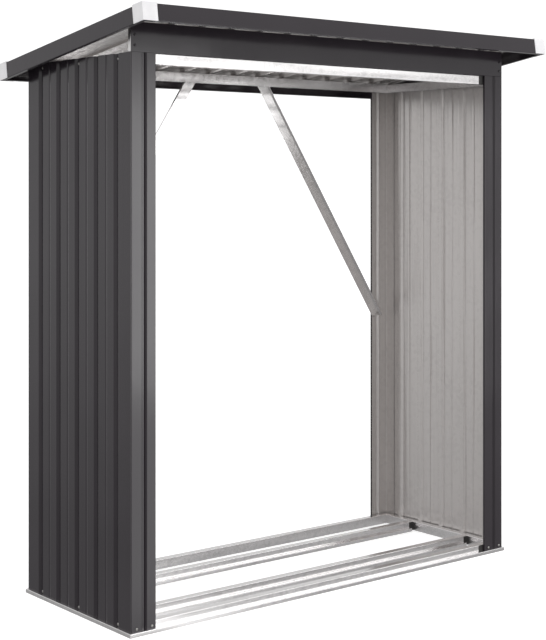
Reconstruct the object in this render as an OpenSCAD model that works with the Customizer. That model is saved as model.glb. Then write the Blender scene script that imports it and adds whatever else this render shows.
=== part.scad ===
// Open firewood store of folded sheet steel: base frame, two ribbed side walls,
// four corner posts, header, top ring and a ribbed lean-to roof that falls to the rear.
// Millimetres, +Z up, X across the front, -Y the open front.
// The origin is on the ground under the middle of the whole outline.

/* [Base frame] */
// Width of the base frame over its outer lips
base_w = 1456; // [1000:1:2400]
// Depth of the base frame over its outer lips
base_d = 556; // [460:1:1200]
// Height of the base rails and joists
base_h = 30; // [20:1:50]
// Height of the lip that the walls and posts stand on
lip_h = 11; // [6:1:14]
// Width of the lip that shows outside the walls and posts
lip_w = 6; // [4:1:30]
// Width of the raised part of a base rail or joist
rail_w = 24; // [18:1:40]
// Distance from the front of the base frame to the front joist's lip
front_joist_y = 115; // [80:1:160]
// Distance from the front of the base frame to the rear joist's lip
rear_joist_y = 372; // [300:1:400]
// Length of the black socket that shows at each joist end
socket_l = 17; // [12:1:60]
// Length of the black socket in the front rail, partly behind the front right post
front_socket_l = 34; // [20:1:60]
// Length of the front rail's socket that shows beside the front right post
front_socket_at = 21; // [10:1:24]
// Length of the top ring's black connector that shows beside the front right post
connector_show = 20; // [4:1:30]
// Length of the top ring's front rail that lies behind the front left post
rail_behind_post = 5; // [2:1:8]

/* [Walls and posts] */
// Height of the walls, posts and top ring above the ground
wall_h = 1548; // [1100:1:2100]
// Thickness of the sheet steel
sheet_t = 1; // [0.6:0.1:1.5]
// Width of a corner post's face
post_w = 80; // [70:1:100]
// Depth of a corner post along the side wall
post_side = 40; // [25:1:50]
// Distance from a post face's left edge, seen from outside, to its groove
post_groove_at = 43; // [35:1:50]
// Number of grooves down each side wall
wall_grooves = 5; // [3:1:9]
// Spacing of the grooves in a side wall
wall_pitch = 100; // [60:1:120]

/* [Grooves] */
// Width of the flat floor of a groove in the walls and roof
groove_floor = 14; // [8:1:20]
// Width of the flat floor of a post's groove
post_groove_floor = 6; // [4:1:12]
// Width that a groove's sloping side takes up
groove_side = 5; // [3:0.5:8]
// Depth of a groove
groove_depth = 7; // [4:1:10]
// Depth of the shallow crease halfway between two grooves
crease_depth = 1.2; // [0.5:0.1:2]
// Width of the shallow crease
crease_w = 10; // [6:1:14]

/* [Top ring and header] */
// Height of the channel that rings the top of the walls
ring_h = 28; // [20:1:45]
// Width of the ring channel
ring_w = 24; // [18:1:40]
// Depth of the header's folded flanges
header_fold = 16; // [10:1:22]
// Width of the angle behind each header end
tie_w = 14; // [10:1:20]
// Depth of that angle along the side wall
tie_reach = 12; // [8:1:16]

/* [Braces] */
// Width of the brace's flat leg
brace_leg = 37; // [20:1:45]
// Depth of the brace's standing leg
brace_stand = 8; // [6:1:18]
// Thickness of the brace angle
brace_t = 1.5; // [1:0.1:3]
// Distance of a brace's top end from the middle of the rear rail
brace_top_x = 133; // [80:1:220]
// Height of a brace's lower end above the ground
brace_low_z = 735; // [600:1:1000]
// Width of the brace's lower end that laps the rear post
brace_lap = 20; // [10:1:22]

/* [Roof] */
// Fall of the roof to the rear, in degrees
roof_pitch = 8.5; // [4:0.5:10]
// Distance that the roof's side fascias stand outside the base frame
roof_side = 46; // [20:1:120]
// Distance that the roof's front edge stands in front of the base frame
roof_front = 132; // [60:1:200]
// Distance that the roof's rear bottom edge stands behind the base frame
roof_rear = 68.5; // [30:0.5:160]
// Height of the fascias, square to the roof
fascia_h = 47; // [44:1:80]
// Width of the folds along a fascia's top and bottom edges
fascia_fold = 12; // [8:1:20]
// Distance from the roof's left edge to the first roof groove
roof_groove_from = 86; // [60:1:120]
// Spacing of the roof grooves
roof_pitch_x = 101.5; // [80:0.5:110]
// Number of grooves in each of the three roof sheets
sheet_grooves = 5; // [4:1:8]
// Lap of one roof sheet over the next
sheet_lap = 12; // [8:1:20]
// Length of a corner cap along each fascia
cap_l = 44; // [30:1:80]
// Thickness of a corner cap
cap_t = 2; // [1.5:0.5:4]

/* [Fits] */
// Gap between pieces that lap or slide together
lap = 0.2; // [0.1:0.05:0.4]

/* [Hidden] */

steel_zinc = "#b4afab";
steel_anthracite = "#4a484b";
plastic_white = "#efeef0";
plastic_black = "#2c2a29";

// The roof overhangs the base frame on all sides.
roof_w = base_w + 2 * roof_side;
roof_l = (roof_front + base_d + roof_rear) / cos(roof_pitch);
// Outline: the roof's front bottom edge and rear top edge set the depth.
roof_depth = roof_l * cos(roof_pitch) + fascia_h * sin(roof_pitch);
roof_y = -roof_depth / 2;
base_y = roof_y + roof_front;

// Outer faces of the walls (x) and posts (y).
wall_x = base_w / 2 - lip_w;
front_y = base_y + lip_w;
rear_y = base_y + base_d - lip_w;
wall_d = rear_y - front_y;

// Inner plane that the groove ridges reach, measured in from an outer face.
ridge_in = sheet_t + groove_depth;
// Where the raised part of a base rail starts and ends, measured in from the lip's edge.
web_in = lip_w + ridge_in + lap;
rail_in = web_in + rail_w;

// Room between the roof sheets' top face and the fascias' top edge.
fascia_clear = 5;
// Height of the roof sheets' grooves above the fascias' bottom edge, square to the roof.
sheet_seat = fascia_h - fascia_clear - ridge_in;
// The roof's grooves clear the rear posts' outer edges.
fascia_z = wall_h + lap - sheet_seat / cos(roof_pitch) + (rear_y - roof_y) * tan(roof_pitch);
// Height above the ground of the roof grooves' underside at y.
function roof_under_z(y) = wall_h + lap + (rear_y - y) * tan(roof_pitch);

eps_cut = 1;

// ---------- folded sheet: an outline of even thickness along a path ----------

function unit(v) = v / norm(v);
function normal_of(a, b) = let (d = unit(b - a)) [-d[1], d[0]];
// Offset of the path's point i by s, mitred where the path bends.
function mitred(path, i, s) =
    let (
        last = len(path) - 1,
        n0 = i == 0 ? normal_of(path[0], path[1]) : normal_of(path[i - 1], path[i]),
        n1 = i == last ? n0 : normal_of(path[i], path[i + 1]),
        n = i == 0 ? n1 : n0,
        m = i == 0 || i == last ? n : unit(n0 + n1)
    )
    path[i] + m * (s / (m * n));
function folded(path, t) = concat(
    [for (i = [0 : len(path) - 1]) mitred(path, i, t / 2)],
    [for (i = [len(path) - 1 : -1 : 0]) mitred(path, i, -t / 2)]
);
module folded_sheet(path, t) {
    polygon(folded(path, t));
}

// Path points of one groove centred at c, cut to the side of negative y.
function groove_at(c, flat = groove_floor) = [
    [c - flat / 2 - groove_side, 0],
    [c - flat / 2, -groove_depth],
    [c + flat / 2, -groove_depth],
    [c + flat / 2 + groove_side, 0]
];
function crease_at(c) = [[c - crease_w / 2, 0], [c, -crease_depth], [c + crease_w / 2, 0]];
function joined(lists) = [for (part = lists) for (p = part) p];

// ---------- rolled sections ----------

// Base rail or joist: hem, lip, web, top flange and inner web, s measured in from the
// lip's edge and z up from the ground.
module rail_section() {
    half = sheet_t / 2;
    folded_sheet([
        [half, 0],
        [half, lip_h - half],
        [web_in + half, lip_h - half],
        [web_in + half, base_h - half],
        [rail_in - half, base_h - half],
        [rail_in - half, 0]
    ], sheet_t);
}

// Top ring channel, open at the bottom, measured in from the wall's ridge plane.
module ring_section(top = wall_h) {
    half = sheet_t / 2;
    folded_sheet([
        [lap + half, wall_h - ring_h],
        [lap + half, top - half],
        [lap + ring_w - half, top - half],
        [lap + ring_w - half, wall_h - ring_h]
    ], sheet_t);
}

// A length of section along X, centred, with both ends mitred at 45 degrees.
// The section's first axis points to +Y, and far is its outer edge's length.
module mitred_bar(far, width) {
    difference() {
        rotate([90, 0, 90])
            translate([0, 0, -far / 2])
                linear_extrude(far)
                    children();
        for (side = [-1, 1])
            translate([side * (far / 2 - lap / 2), 0, 0])
                rotate([0, 0, side * 45])
                    translate([side > 0 ? 0 : -2 * width, -2 * width, -eps_cut])
                        cube([2 * width, 6 * width, wall_h + 2 * eps_cut]);
    }
}

// ---------- base frame ----------

// The raised part of every rail and joist is hollow; sockets stand inside it, clear of it.
hollow_in = web_in + sheet_t + lap;
hollow_w = rail_w - 2 * (sheet_t + lap);
hollow_h = base_h - sheet_t - lap;
// Length of the tongue that a socket pushes on into the hollow.
tongue_l = 12;

module base_long_rail() {
    mitred_bar(base_w, rail_in) rail_section();
}
module base_short_rail() {
    mitred_bar(base_d, rail_in) rail_section();
}

// The front rail's web is cut away in front of its socket.
front_socket_x = wall_x - post_w - front_socket_at;
module base_front_rail() {
    color(steel_zinc)
        translate([0, base_y, 0])
            difference() {
                base_long_rail();
                translate([front_socket_x, web_in - eps_cut, lip_h])
                    cube([front_socket_l, sheet_t + 2 * eps_cut, base_h - sheet_t - lip_h]);
            }
}
module base_rear_rail() {
    color(steel_zinc) translate([0, base_y + base_d, 0]) rotate([0, 0, 180]) base_long_rail();
}
module base_left_rail() {
    color(steel_zinc)
        translate([-base_w / 2, base_y + base_d / 2, 0])
            rotate([0, 0, -90])
                base_short_rail();
}
module base_right_rail() {
    color(steel_zinc)
        translate([base_w / 2, base_y + base_d / 2, 0])
            rotate([0, 0, 90])
                base_short_rail();
}

// Socket in the front rail, its face flush with the web and partly behind the post.
module front_rail_socket() {
    color(plastic_black)
        translate([front_socket_x, base_y, 0]) {
            translate([lap, web_in, lip_h + lap])
                cube([front_socket_l - 2 * lap, hollow_w, base_h - sheet_t - lip_h - 2 * lap]);
            translate([-tongue_l, hollow_in, 0])
                cube([front_socket_l + 2 * tongue_l, hollow_w, hollow_h]);
        }
}

// Joists have the rails' section. Their lip and web stop short of the side rails, and
// their top runs on over the sockets.
joist_x = base_w / 2 - rail_in - lap;
module joist(y) {
    color(steel_zinc)
        translate([0, base_y + y, 0])
            difference() {
                translate([-joist_x, 0, 0])
                    rotate([90, 0, 90])
                        linear_extrude(2 * joist_x)
                            rail_section();
                for (side = [-1, 1])
                    translate([side * (joist_x - (socket_l - eps_cut) / 2), 0, 0])
                        translate([-(socket_l + eps_cut) / 2, -eps_cut, -eps_cut])
                            cube([
                                socket_l + eps_cut,
                                web_in + sheet_t + lap + eps_cut,
                                base_h - sheet_t + eps_cut
                            ]);
            }
}
module front_joist() {
    joist(front_joist_y);
}
module rear_joist() {
    joist(rear_joist_y);
}

// Socket at a joist's right end: a block flush with the web and a tongue in the hollow.
module joist_socket() {
    translate([joist_x - socket_l + lap, web_in, 0])
        cube([socket_l - lap, rail_w - sheet_t - lap, hollow_h]);
    translate([joist_x - socket_l - tongue_l, hollow_in, 0])
        cube([socket_l, hollow_w, hollow_h]);
}
module joist_sockets() {
    for (y = [front_joist_y, rear_joist_y])
        translate([0, base_y + y, 0])
            joist_socket();
}
module right_joist_sockets() {
    color(plastic_black) joist_sockets();
}
module left_joist_sockets() {
    color(plastic_black) mirror([1, 0, 0]) joist_sockets();
}

// ---------- walls and posts ----------

// Plan of a side wall: s along the wall, grooves cut to the side of negative y.
wall_mid = wall_d / 2;
first_groove = wall_mid - (wall_grooves - 1) / 2 * wall_pitch;
function wall_path() = concat(
    [[0, 0]],
    joined([
        for (i = [0 : wall_grooves - 1])
            concat(
                groove_at(first_groove + i * wall_pitch),
                i < wall_grooves - 1 ? crease_at(first_groove + (i + 0.5) * wall_pitch) : []
            )
    ]),
    [[wall_d, 0]]
);
module wall_sheet() {
    translate([0, 0, lip_h])
        linear_extrude(wall_h - lip_h)
            folded_sheet(wall_path(), sheet_t);
}
module left_wall() {
    color(steel_anthracite)
        translate([-wall_x + sheet_t / 2, front_y, 0])
            rotate([0, 0, 90])
                wall_sheet();
}
module right_wall() {
    color(steel_anthracite)
        mirror([1, 0, 0])
            translate([-wall_x + sheet_t / 2, front_y, 0])
                rotate([0, 0, 90])
                    wall_sheet();
}

// Plan of a corner post, its face along +X from the outer corner, the store's inside to +Y.
post_in = sheet_t + lap;
module post_plan(groove) {
    half = sheet_t / 2;
    folded_sheet(concat(
        [[post_in + half, post_side], [post_in + half, half]],
        [for (p = groove_at(groove, post_groove_floor)) [p[0], half - p[1]]],
        [[post_w - half, half], [post_w - half, ridge_in]]
    ), sheet_t);
}
module post(groove) {
    translate([0, 0, lip_h])
        linear_extrude(wall_h - lip_h)
            post_plan(groove);
}
module front_left_post() {
    color(steel_anthracite) translate([-wall_x, front_y, 0]) post(post_groove_at);
}
module front_right_post() {
    color(steel_anthracite)
        translate([wall_x, front_y, 0])
            mirror([1, 0, 0])
                post(post_w - post_groove_at);
}
module rear_left_post() {
    color(steel_anthracite)
        translate([-wall_x, rear_y, 0])
            mirror([0, 1, 0])
                post(post_w - post_groove_at);
}
module rear_right_post() {
    color(steel_anthracite)
        translate([wall_x, rear_y, 0])
            rotate([0, 0, 180])
                post(post_groove_at);
}

// ---------- top ring ----------

ring_x = wall_x - ridge_in;
ring_front_y = front_y + ridge_in;
ring_rear_y = rear_y - ridge_in;
// The front rail's right end stops short of the post, where a black connector shows.
// Its left end stops behind the left post.
ring_left_x = wall_x - post_w + rail_behind_post;
ring_right_x = wall_x - post_w - connector_show;
module top_front_rail() {
    color(steel_zinc)
        translate([-ring_left_x, ring_front_y, 0])
            rotate([90, 0, 90])
                linear_extrude(ring_left_x + ring_right_x)
                    ring_section();
}
// The rear rail stands up to the roof sheets, a little above the posts.
module top_rear_rail() {
    color(steel_zinc)
        translate([0, ring_rear_y, 0])
            rotate([0, 0, 180])
                mitred_bar(2 * ring_x, ring_w + 2 * lap)
                    ring_section(roof_under_z(ring_rear_y - lap) - lap);
}
// Side rails are mitred at the rear and cut square at the front.
module top_side_rail() {
    long = ring_rear_y - ring_front_y;
    color(steel_zinc)
        translate([ring_x, ring_front_y + lap, 0])
            rotate([0, 0, 90])
                intersection() {
                    mitred_bar(2 * long, ring_w + 2 * lap)
                        ring_section();
                    translate([0, -eps_cut, 0])
                        cube([long, ring_w + 3 * eps_cut, wall_h + eps_cut]);
                }
}
module top_right_rail() {
    top_side_rail();
}
module top_left_rail() {
    mirror([1, 0, 0]) top_side_rail();
}

// Black connector between the front rail's end and the right side rail, with a tongue
// that fills the front rail's end.
ring_tongue_l = 30;
module ring_connector(end) {
    side = ring_x - lap - ring_w - lap;
    inner = sheet_t + lap;
    translate([end + lap, ring_front_y + lap, wall_h - ring_h])
        cube([side - end - lap, ring_w, ring_h]);
    translate([end - ring_tongue_l, ring_front_y + lap + inner, wall_h - ring_h])
        cube([ring_tongue_l + 2 * lap, ring_w - 2 * inner, ring_h - inner]);
}
module top_front_right_connector() {
    color(plastic_black) ring_connector(ring_right_x);
}
module top_front_left_connector() {
    color(plastic_black) mirror([1, 0, 0]) ring_connector(ring_left_x);
}

// ---------- header ----------

// Side view of the header: a front plate on the ring, folded in at the bottom and
// folded in under the roof sheets along their slope at the top.
module header() {
    half = sheet_t / 2;
    low = wall_h + half;
    function top_at(s) = roof_under_z(front_y + s) - lap / cos(roof_pitch) - half / cos(roof_pitch);
    color(steel_anthracite)
        translate([-wall_x, front_y, 0])
            rotate([90, 0, 90])
                linear_extrude(2 * wall_x)
                    folded_sheet([
                        [header_fold, low],
                        [half, low],
                        [half, top_at(half)],
                        [header_fold, top_at(header_fold)]
                    ], sheet_t);
}

// Slack between a header tie's top and the roof sheets.
roof_slack = 0.4;
// Height of the block that trims a tie's top to the roof's slope.
tie_cut_h = 30;
// Angle behind each header end: a leg behind the plate and a leg along the side.
module header_tie() {
    half = sheet_t / 2;
    back = front_y + sheet_t + lap;
    foot = wall_h + sheet_t + lap;
    difference() {
        translate([-wall_x, back, foot])
            linear_extrude(roof_under_z(back) - foot)
                folded_sheet([[tie_w, half], [half, half], [half, tie_reach]], sheet_t);
        translate([-wall_x - eps_cut, back, roof_under_z(back) - sheet_t - 2 * lap - roof_slack])
            rotate([-roof_pitch, 0, 0])
                translate([0, -eps_cut, 0])
                    cube([tie_w + 2 * eps_cut, tie_reach + 4 * eps_cut, tie_cut_h]);
    }
}
module header_left_tie() {
    color(steel_zinc) header_tie();
}
module header_right_tie() {
    color(steel_zinc) mirror([1, 0, 0]) header_tie();
}

// ---------- rear braces ----------

// The top end goes up inside the rear rail, against its outer web, and the lower end
// laps the rear post's inner edge.
// Room between a brace's top end and the rail's top flange.
brace_gap = 2;
brace_y = ring_rear_y - lap - sheet_t - lap;
brace_top_z = wall_h - sheet_t - brace_gap;
brace_low_x = wall_x - post_w + brace_lap;
brace_run = brace_low_x - brace_top_x;
brace_rise = brace_top_z - brace_low_z;
brace_len = norm([brace_run, brace_rise]);
brace_lean = atan2(brace_run, brace_rise);
// The angle's flat leg, with the standing leg along its upper edge, cut level at both ends.
module brace() {
    long = brace_len + 2 * brace_leg;
    intersection() {
        translate([brace_top_x, brace_y, brace_top_z])
            rotate([0, -brace_lean, 0])
                translate([-brace_leg / 2, 0, brace_leg - long]) {
                    translate([0, -brace_t, 0])
                        cube([brace_leg, brace_t, long]);
                    translate([brace_leg - brace_t, -brace_stand, 0])
                        cube([brace_t, brace_stand, long]);
                }
        translate([0, brace_y - 2 * brace_stand, brace_low_z])
            cube([wall_x, 4 * brace_stand, brace_rise]);
    }
}
module right_brace() {
    color(steel_zinc) brace();
}
module left_brace() {
    color(steel_zinc) mirror([1, 0, 0]) brace();
}

// ---------- roof ----------

// Everything on the roof is drawn flat and square, then tilted to fall to the rear.
module on_roof() {
    translate([0, roof_y, fascia_z])
        rotate([-roof_pitch, 0, 0])
            children();
}

sheet_in = sheet_t + lap;
module roof_sheet(index) {
    half = sheet_t / 2;
    left_edge = -roof_w / 2 + sheet_in;
    first = -roof_w / 2 + roof_groove_from + index * sheet_grooves * roof_pitch_x;
    start = index == 0 ? left_edge : first - roof_pitch_x / 2;
    next = first + (sheet_grooves - 0.5) * roof_pitch_x;
    end = index == 2 ? roof_w / 2 - sheet_in : next - lap - sheet_t;
    raise = sheet_t + lap;
    color(steel_anthracite)
        on_roof()
            translate([0, sheet_in, sheet_seat + groove_depth + half])
                rotate([-90, 0, 0])
                    mirror([0, 1, 0])
                        linear_extrude(roof_l - 2 * sheet_in)
                            folded_sheet(concat(
                                index == 0 ? [[start, 0]]
                                    : [[start - sheet_lap, raise], [start - raise, raise], [start, 0]],
                                index == 0 ? crease_at(first - roof_pitch_x / 2) : [],
                                joined([
                                    for (i = [0 : sheet_grooves - 1])
                                        concat(
                                            groove_at(first + i * roof_pitch_x),
                                            i < sheet_grooves - 1
                                                ? crease_at(first + (i + 0.5) * roof_pitch_x)
                                                : []
                                        )
                                ]),
                                [[end - (index == 2 ? 0 : sheet_t), 0]]
                            ), sheet_t);
}
module roof_sheet_left() {
    roof_sheet(0);
}
module roof_sheet_middle() {
    roof_sheet(1);
}
module roof_sheet_right() {
    roof_sheet(2);
}

// Fascia: a C of sheet, its face at s = 0 and its folds towards the roof's middle.
module fascia_section() {
    half = sheet_t / 2;
    folded_sheet([
        [fascia_fold, half],
        [half, half],
        [half, fascia_h - half],
        [fascia_fold, fascia_h - half]
    ], sheet_t);
}
module fascia_bar(length) {
    mitred_bar(length, fascia_fold) fascia_section();
}
module front_fascia() {
    color(steel_anthracite) on_roof() fascia_bar(roof_w);
}
module rear_fascia() {
    color(steel_anthracite)
        on_roof()
            translate([0, roof_l, 0])
                rotate([0, 0, 180])
                    fascia_bar(roof_w);
}
module left_fascia() {
    color(steel_anthracite)
        on_roof()
            translate([-roof_w / 2, roof_l / 2, 0])
                rotate([0, 0, -90])
                    fascia_bar(roof_l);
}
module right_fascia() {
    color(steel_anthracite)
        on_roof()
            translate([roof_w / 2, roof_l / 2, 0])
                rotate([0, 0, 90])
                    fascia_bar(roof_l);
}

// Corner cap: an angle round the outside of two fascias, closed over their top and open
// at the bottom, where it ends level with them.
// How far a cap's top plate reaches past the fascia's fold.
cap_reach = 2;
module cap() {
    grip = fascia_fold + cap_reach;
    out = cap_t + lap;
    difference() {
        translate([-out, -out, 0])
            cube([cap_l + out, cap_l + out, fascia_h + out]);
        translate([-lap, -lap, -eps_cut])
            cube([cap_l + 2 * eps_cut, cap_l + 2 * eps_cut, fascia_h + lap + eps_cut]);
        translate([grip, grip, -out - eps_cut])
            cube([cap_l, cap_l, fascia_h + 2 * out + 2 * eps_cut]);
    }
}
module front_left_cap() {
    color(plastic_white) on_roof() translate([-roof_w / 2, 0, 0]) cap();
}
module front_right_cap() {
    color(plastic_white) on_roof() translate([roof_w / 2, 0, 0]) mirror([1, 0, 0]) cap();
}
module rear_left_cap() {
    color(plastic_white) on_roof() translate([-roof_w / 2, roof_l, 0]) mirror([0, 1, 0]) cap();
}
module rear_right_cap() {
    color(plastic_white) on_roof() translate([roof_w / 2, roof_l, 0]) rotate([0, 0, 180]) cap();
}

base_front_rail();
base_rear_rail();
base_left_rail();
base_right_rail();
front_joist();
rear_joist();
left_joist_sockets();
right_joist_sockets();
front_rail_socket();
left_wall();
right_wall();
front_left_post();
front_right_post();
rear_left_post();
rear_right_post();
top_front_rail();
top_rear_rail();
top_left_rail();
top_right_rail();
top_front_left_connector();
top_front_right_connector();
header();
header_left_tie();
header_right_tie();
left_brace();
right_brace();
roof_sheet_left();
roof_sheet_middle();
roof_sheet_right();
front_fascia();
rear_fascia();
left_fascia();
right_fascia();
front_left_cap();
front_right_cap();
rear_left_cap();
rear_right_cap();
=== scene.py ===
import math

import bpy
import bmesh
from bpy.props import FloatProperty, IntProperty, PointerProperty, StringProperty
from mathutils import Matrix, Vector


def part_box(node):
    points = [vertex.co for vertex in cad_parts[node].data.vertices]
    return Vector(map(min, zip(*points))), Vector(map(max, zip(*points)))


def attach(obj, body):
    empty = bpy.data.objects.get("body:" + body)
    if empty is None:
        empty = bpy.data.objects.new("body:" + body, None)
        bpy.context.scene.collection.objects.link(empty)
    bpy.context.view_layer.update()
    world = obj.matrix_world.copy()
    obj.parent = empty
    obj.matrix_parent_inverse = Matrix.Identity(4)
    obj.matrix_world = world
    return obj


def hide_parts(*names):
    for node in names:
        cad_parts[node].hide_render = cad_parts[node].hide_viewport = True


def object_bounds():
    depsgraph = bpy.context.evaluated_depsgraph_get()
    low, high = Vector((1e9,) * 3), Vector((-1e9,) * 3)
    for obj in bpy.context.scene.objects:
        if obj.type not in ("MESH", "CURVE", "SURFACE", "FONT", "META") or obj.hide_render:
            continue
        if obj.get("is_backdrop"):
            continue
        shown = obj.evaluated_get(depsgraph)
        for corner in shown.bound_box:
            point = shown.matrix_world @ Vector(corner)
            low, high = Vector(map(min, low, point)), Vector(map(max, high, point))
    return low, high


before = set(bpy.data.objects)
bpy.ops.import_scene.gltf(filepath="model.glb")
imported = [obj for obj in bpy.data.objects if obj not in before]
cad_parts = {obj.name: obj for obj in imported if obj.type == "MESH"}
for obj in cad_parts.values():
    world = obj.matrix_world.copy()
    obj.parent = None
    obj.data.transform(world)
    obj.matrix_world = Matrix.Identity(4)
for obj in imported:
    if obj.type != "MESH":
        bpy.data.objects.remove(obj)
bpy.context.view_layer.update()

bl_info = {
    "name": "Sheet Steel Firewood Store",
    "version": (1, 0, 0),
    "blender": (4, 5, 0),
    "location": "3D View > Sidebar > Log Store",
    "description": "Dresses a lean-to firewood store of folded sheet steel",
    "category": "Object",
}

MM = 0.001
BODY = "root"
ROOF_SHEETS = 3
BRACE_T = 1.5 * MM

# Where the screws sit: up from a piece's foot, down from its top, in from its end.
WALL_SCREW_UP = 7 * MM
POST_SCREW_UP = 8 * MM
TOP_SCREW_DOWN = 14 * MM
POST_SCREW_SHARES = (0.22, 0.84)
HEADER_SCREW_IN = 12 * MM
HEADER_SCREW_UPS = (18 * MM, 46 * MM)
BRACE_SCREW_IN = 20 * MM
BRACE_SCREW_UP = 10 * MM
EAVES_SCREW_IN = 60 * MM

# The camera stands level, at this offset from the foot of the front left post.
EYE_OFFSET = (-2.1001, -3.1914)
EYE_HEIGHT = 1.2
EYE_DIRECTION = (0.6289, 0.7775, 0)
SENSOR_WIDTH = 36


# ---------- settings ----------


def mm_prop(name, description, default, low=0.0, high=3000.0):
    """A length property: given here in millimetres and kept in metres."""
    return FloatProperty(
        name=name,
        description=description,
        default=default * MM,
        min=low * MM,
        max=high * MM,
        subtype="DISTANCE",
        unit="LENGTH",
    )


def hex_prop(name, description, default):
    """A colour property that holds an sRGB hex value as text."""
    return StringProperty(name=name, description=description, default=default, maxlen=7)


class LogStoreSizes(bpy.types.PropertyGroup):
    sheet_t: mm_prop("Sheet thickness", "Thickness of the folded sheet steel", 1.0)
    bend_r: mm_prop("Bend radius", "Middle radius of a press-brake fold", 1.3)
    groove_r: mm_prop("Groove radius", "Middle radius of a roll-formed groove's bends", 1.8)
    groove_side: mm_prop("Groove side", "Width that a groove's sloping side takes up", 5.0)
    groove_floor: mm_prop("Groove floor", "Width of the flat floor of a groove", 14.0)
    post_groove_floor: mm_prop("Post groove floor", "Width of the floor of a post's groove", 6.0)
    groove_depth: mm_prop("Groove depth", "Depth of a groove", 7.0)
    crease_w: mm_prop("Crease width", "Width of the stiffening crease between two grooves", 10.0)
    crease_depth: mm_prop("Crease depth", "Depth of the stiffening crease", 1.2)
    wall_grooves: IntProperty(
        name="Wall grooves", description="Number of grooves down each side wall", default=5
    )
    wall_pitch: mm_prop("Wall groove pitch", "Spacing of the grooves in a side wall", 100.0)
    post_groove: mm_prop("Post groove", "Distance from a post face's left edge to its groove", 43.0)
    post_side: mm_prop("Post side", "Depth of a corner post along the side wall", 40.0)
    lip_w: mm_prop("Lip width", "Width of the lip outside the walls and posts", 6.0)
    lip_h: mm_prop("Lip height", "Height of the lip that the walls stand on", 11.0)
    rail_w: mm_prop("Rail width", "Width of the raised part of a base rail", 24.0)
    socket_l: mm_prop("Socket length", "Length of the black socket at a joist's end", 17.0)
    front_socket_l: mm_prop("Front socket length", "Length of the front rail's socket", 34.0)
    socket_at: mm_prop("Front socket", "Length of the front socket beside the post", 21.0)
    ring_w: mm_prop("Ring width", "Width of the top ring's channel", 24.0)
    header_fold: mm_prop("Header fold", "Depth of the header's folded flanges", 16.0)
    tie_w: mm_prop("Tie width", "Width of the angle at each header end", 14.0)
    roof_slope: FloatProperty(
        name="Roof slope",
        description="Fall of the roof to the rear",
        default=math.radians(8.5),
        subtype="ANGLE",
        unit="ROTATION",
    )
    fascia_h: mm_prop("Fascia height", "Height of a fascia, square to the roof", 47.0)
    fascia_fold: mm_prop("Fascia fold", "Width of the folds along a fascia's edges", 12.0)
    fascia_clear: mm_prop("Roof recess", "Depth of the roof sheets below the fascias' tops", 5.0)
    roof_groove_from: mm_prop("First roof groove", "Distance from the roof's left edge", 86.0)
    roof_groove_pitch: mm_prop("Roof groove pitch", "Spacing of the roof grooves", 101.5)
    sheet_grooves: IntProperty(
        name="Grooves per sheet", description="Number of grooves in each roof sheet", default=5
    )
    sheet_lap: mm_prop("Sheet lap", "Lap of one roof sheet over the next", 12.0)
    screw_d: mm_prop("Screw head", "Diameter of a pan-head screw", 7.6)
    fit: mm_prop("Fit", "Gap between pieces that lap", 0.2)


class LogStoreColours(bpy.types.PropertyGroup):
    paint: hex_prop("Paint", "Anthracite polyester coil coat", "#302B30")
    zinc: hex_prop("Zinc", "Galvanised sheet, spangled", "#E3E1E1")
    backing: hex_prop("Backing coat", "Grey epoxy service coat inside the walls", "#D0CCCA")
    white: hex_prop("White plastic", "Moulded polypropylene corner caps", "#FBFAFC")
    black: hex_prop("Black plastic", "Moulded polypropylene sockets", "#2A2827")
    screw: hex_prop("Screw", "Zinc-plated screw heads", "#B9B7B4")
    floor: hex_prop("Floor", "Pale studio floor", "#F6F6F6")


class LogStoreStudio(bpy.types.PropertyGroup):
    sky: FloatProperty(name="Sky", description="Brightness of the surround overhead", default=0.85)
    horizon: FloatProperty(
        name="Horizon", description="Brightness of the surround at eye level", default=0.74
    )
    ground: FloatProperty(
        name="Ground", description="Brightness of the surround below the horizon", default=0.38
    )
    paper: FloatProperty(
        name="Paper glow", description="Light that shines through the paper", default=0.60
    )
    front: FloatProperty(
        name="Front card", description="Power of the wide front card", default=21.0, unit="POWER"
    )
    strip: FloatProperty(
        name="Strip card", description="Power of the tall narrow card", default=11.0, unit="POWER"
    )
    key: FloatProperty(
        name="Key card", description="Power of the high left card", default=60.0, unit="POWER"
    )
    lens: FloatProperty(name="Lens", description="Focal length", default=81.0, unit="CAMERA")
    shift: FloatProperty(name="Shift", description="Vertical lens shift", default=-0.21355)


# ---------- materials ----------


def linear(hex_text):
    """An sRGB hex colour as linear RGBA."""
    values = [int(hex_text[i : i + 2], 16) / 255 for i in (1, 3, 5)]
    return (*[v / 12.92 if v <= 0.04045 else ((v + 0.055) / 1.055) ** 2.4 for v in values], 1.0)


def put(tree, kind, links=None, **settings):
    """Adds a node. settings name its properties or inputs, and links its inputs' sources."""
    node = tree.nodes.new(kind)
    for key, value in settings.items():
        if hasattr(node, key):
            setattr(node, key, value)
        else:
            node.inputs[key.replace("_", " ")].default_value = value
    for key, source in (links or {}).items():
        tree.links.new(source, node.inputs[key])
    return node


def new_material(name):
    """An empty material with its output and a Principled shader."""
    old = bpy.data.materials.get(name)
    if old is not None:
        return old, None, None
    mat = bpy.data.materials.new(name)
    mat.use_nodes = True
    tree = mat.node_tree
    tree.nodes.clear()
    shader = put(tree, "ShaderNodeBsdfPrincipled")
    out = put(tree, "ShaderNodeOutputMaterial")
    tree.links.new(shader.outputs["BSDF"], out.inputs["Surface"])
    return mat, tree, shader


def ramp(node, *stops):
    """Sets a colour ramp's stops, each a place and a colour."""
    cr = node.color_ramp
    while len(cr.elements) > len(stops):
        cr.elements.remove(cr.elements[-1])
    while len(cr.elements) < len(stops):
        cr.elements.new(0.5)
    for element, (place, colour) in zip(cr.elements, stops):
        element.position, element.color = place, colour
    return node


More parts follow.
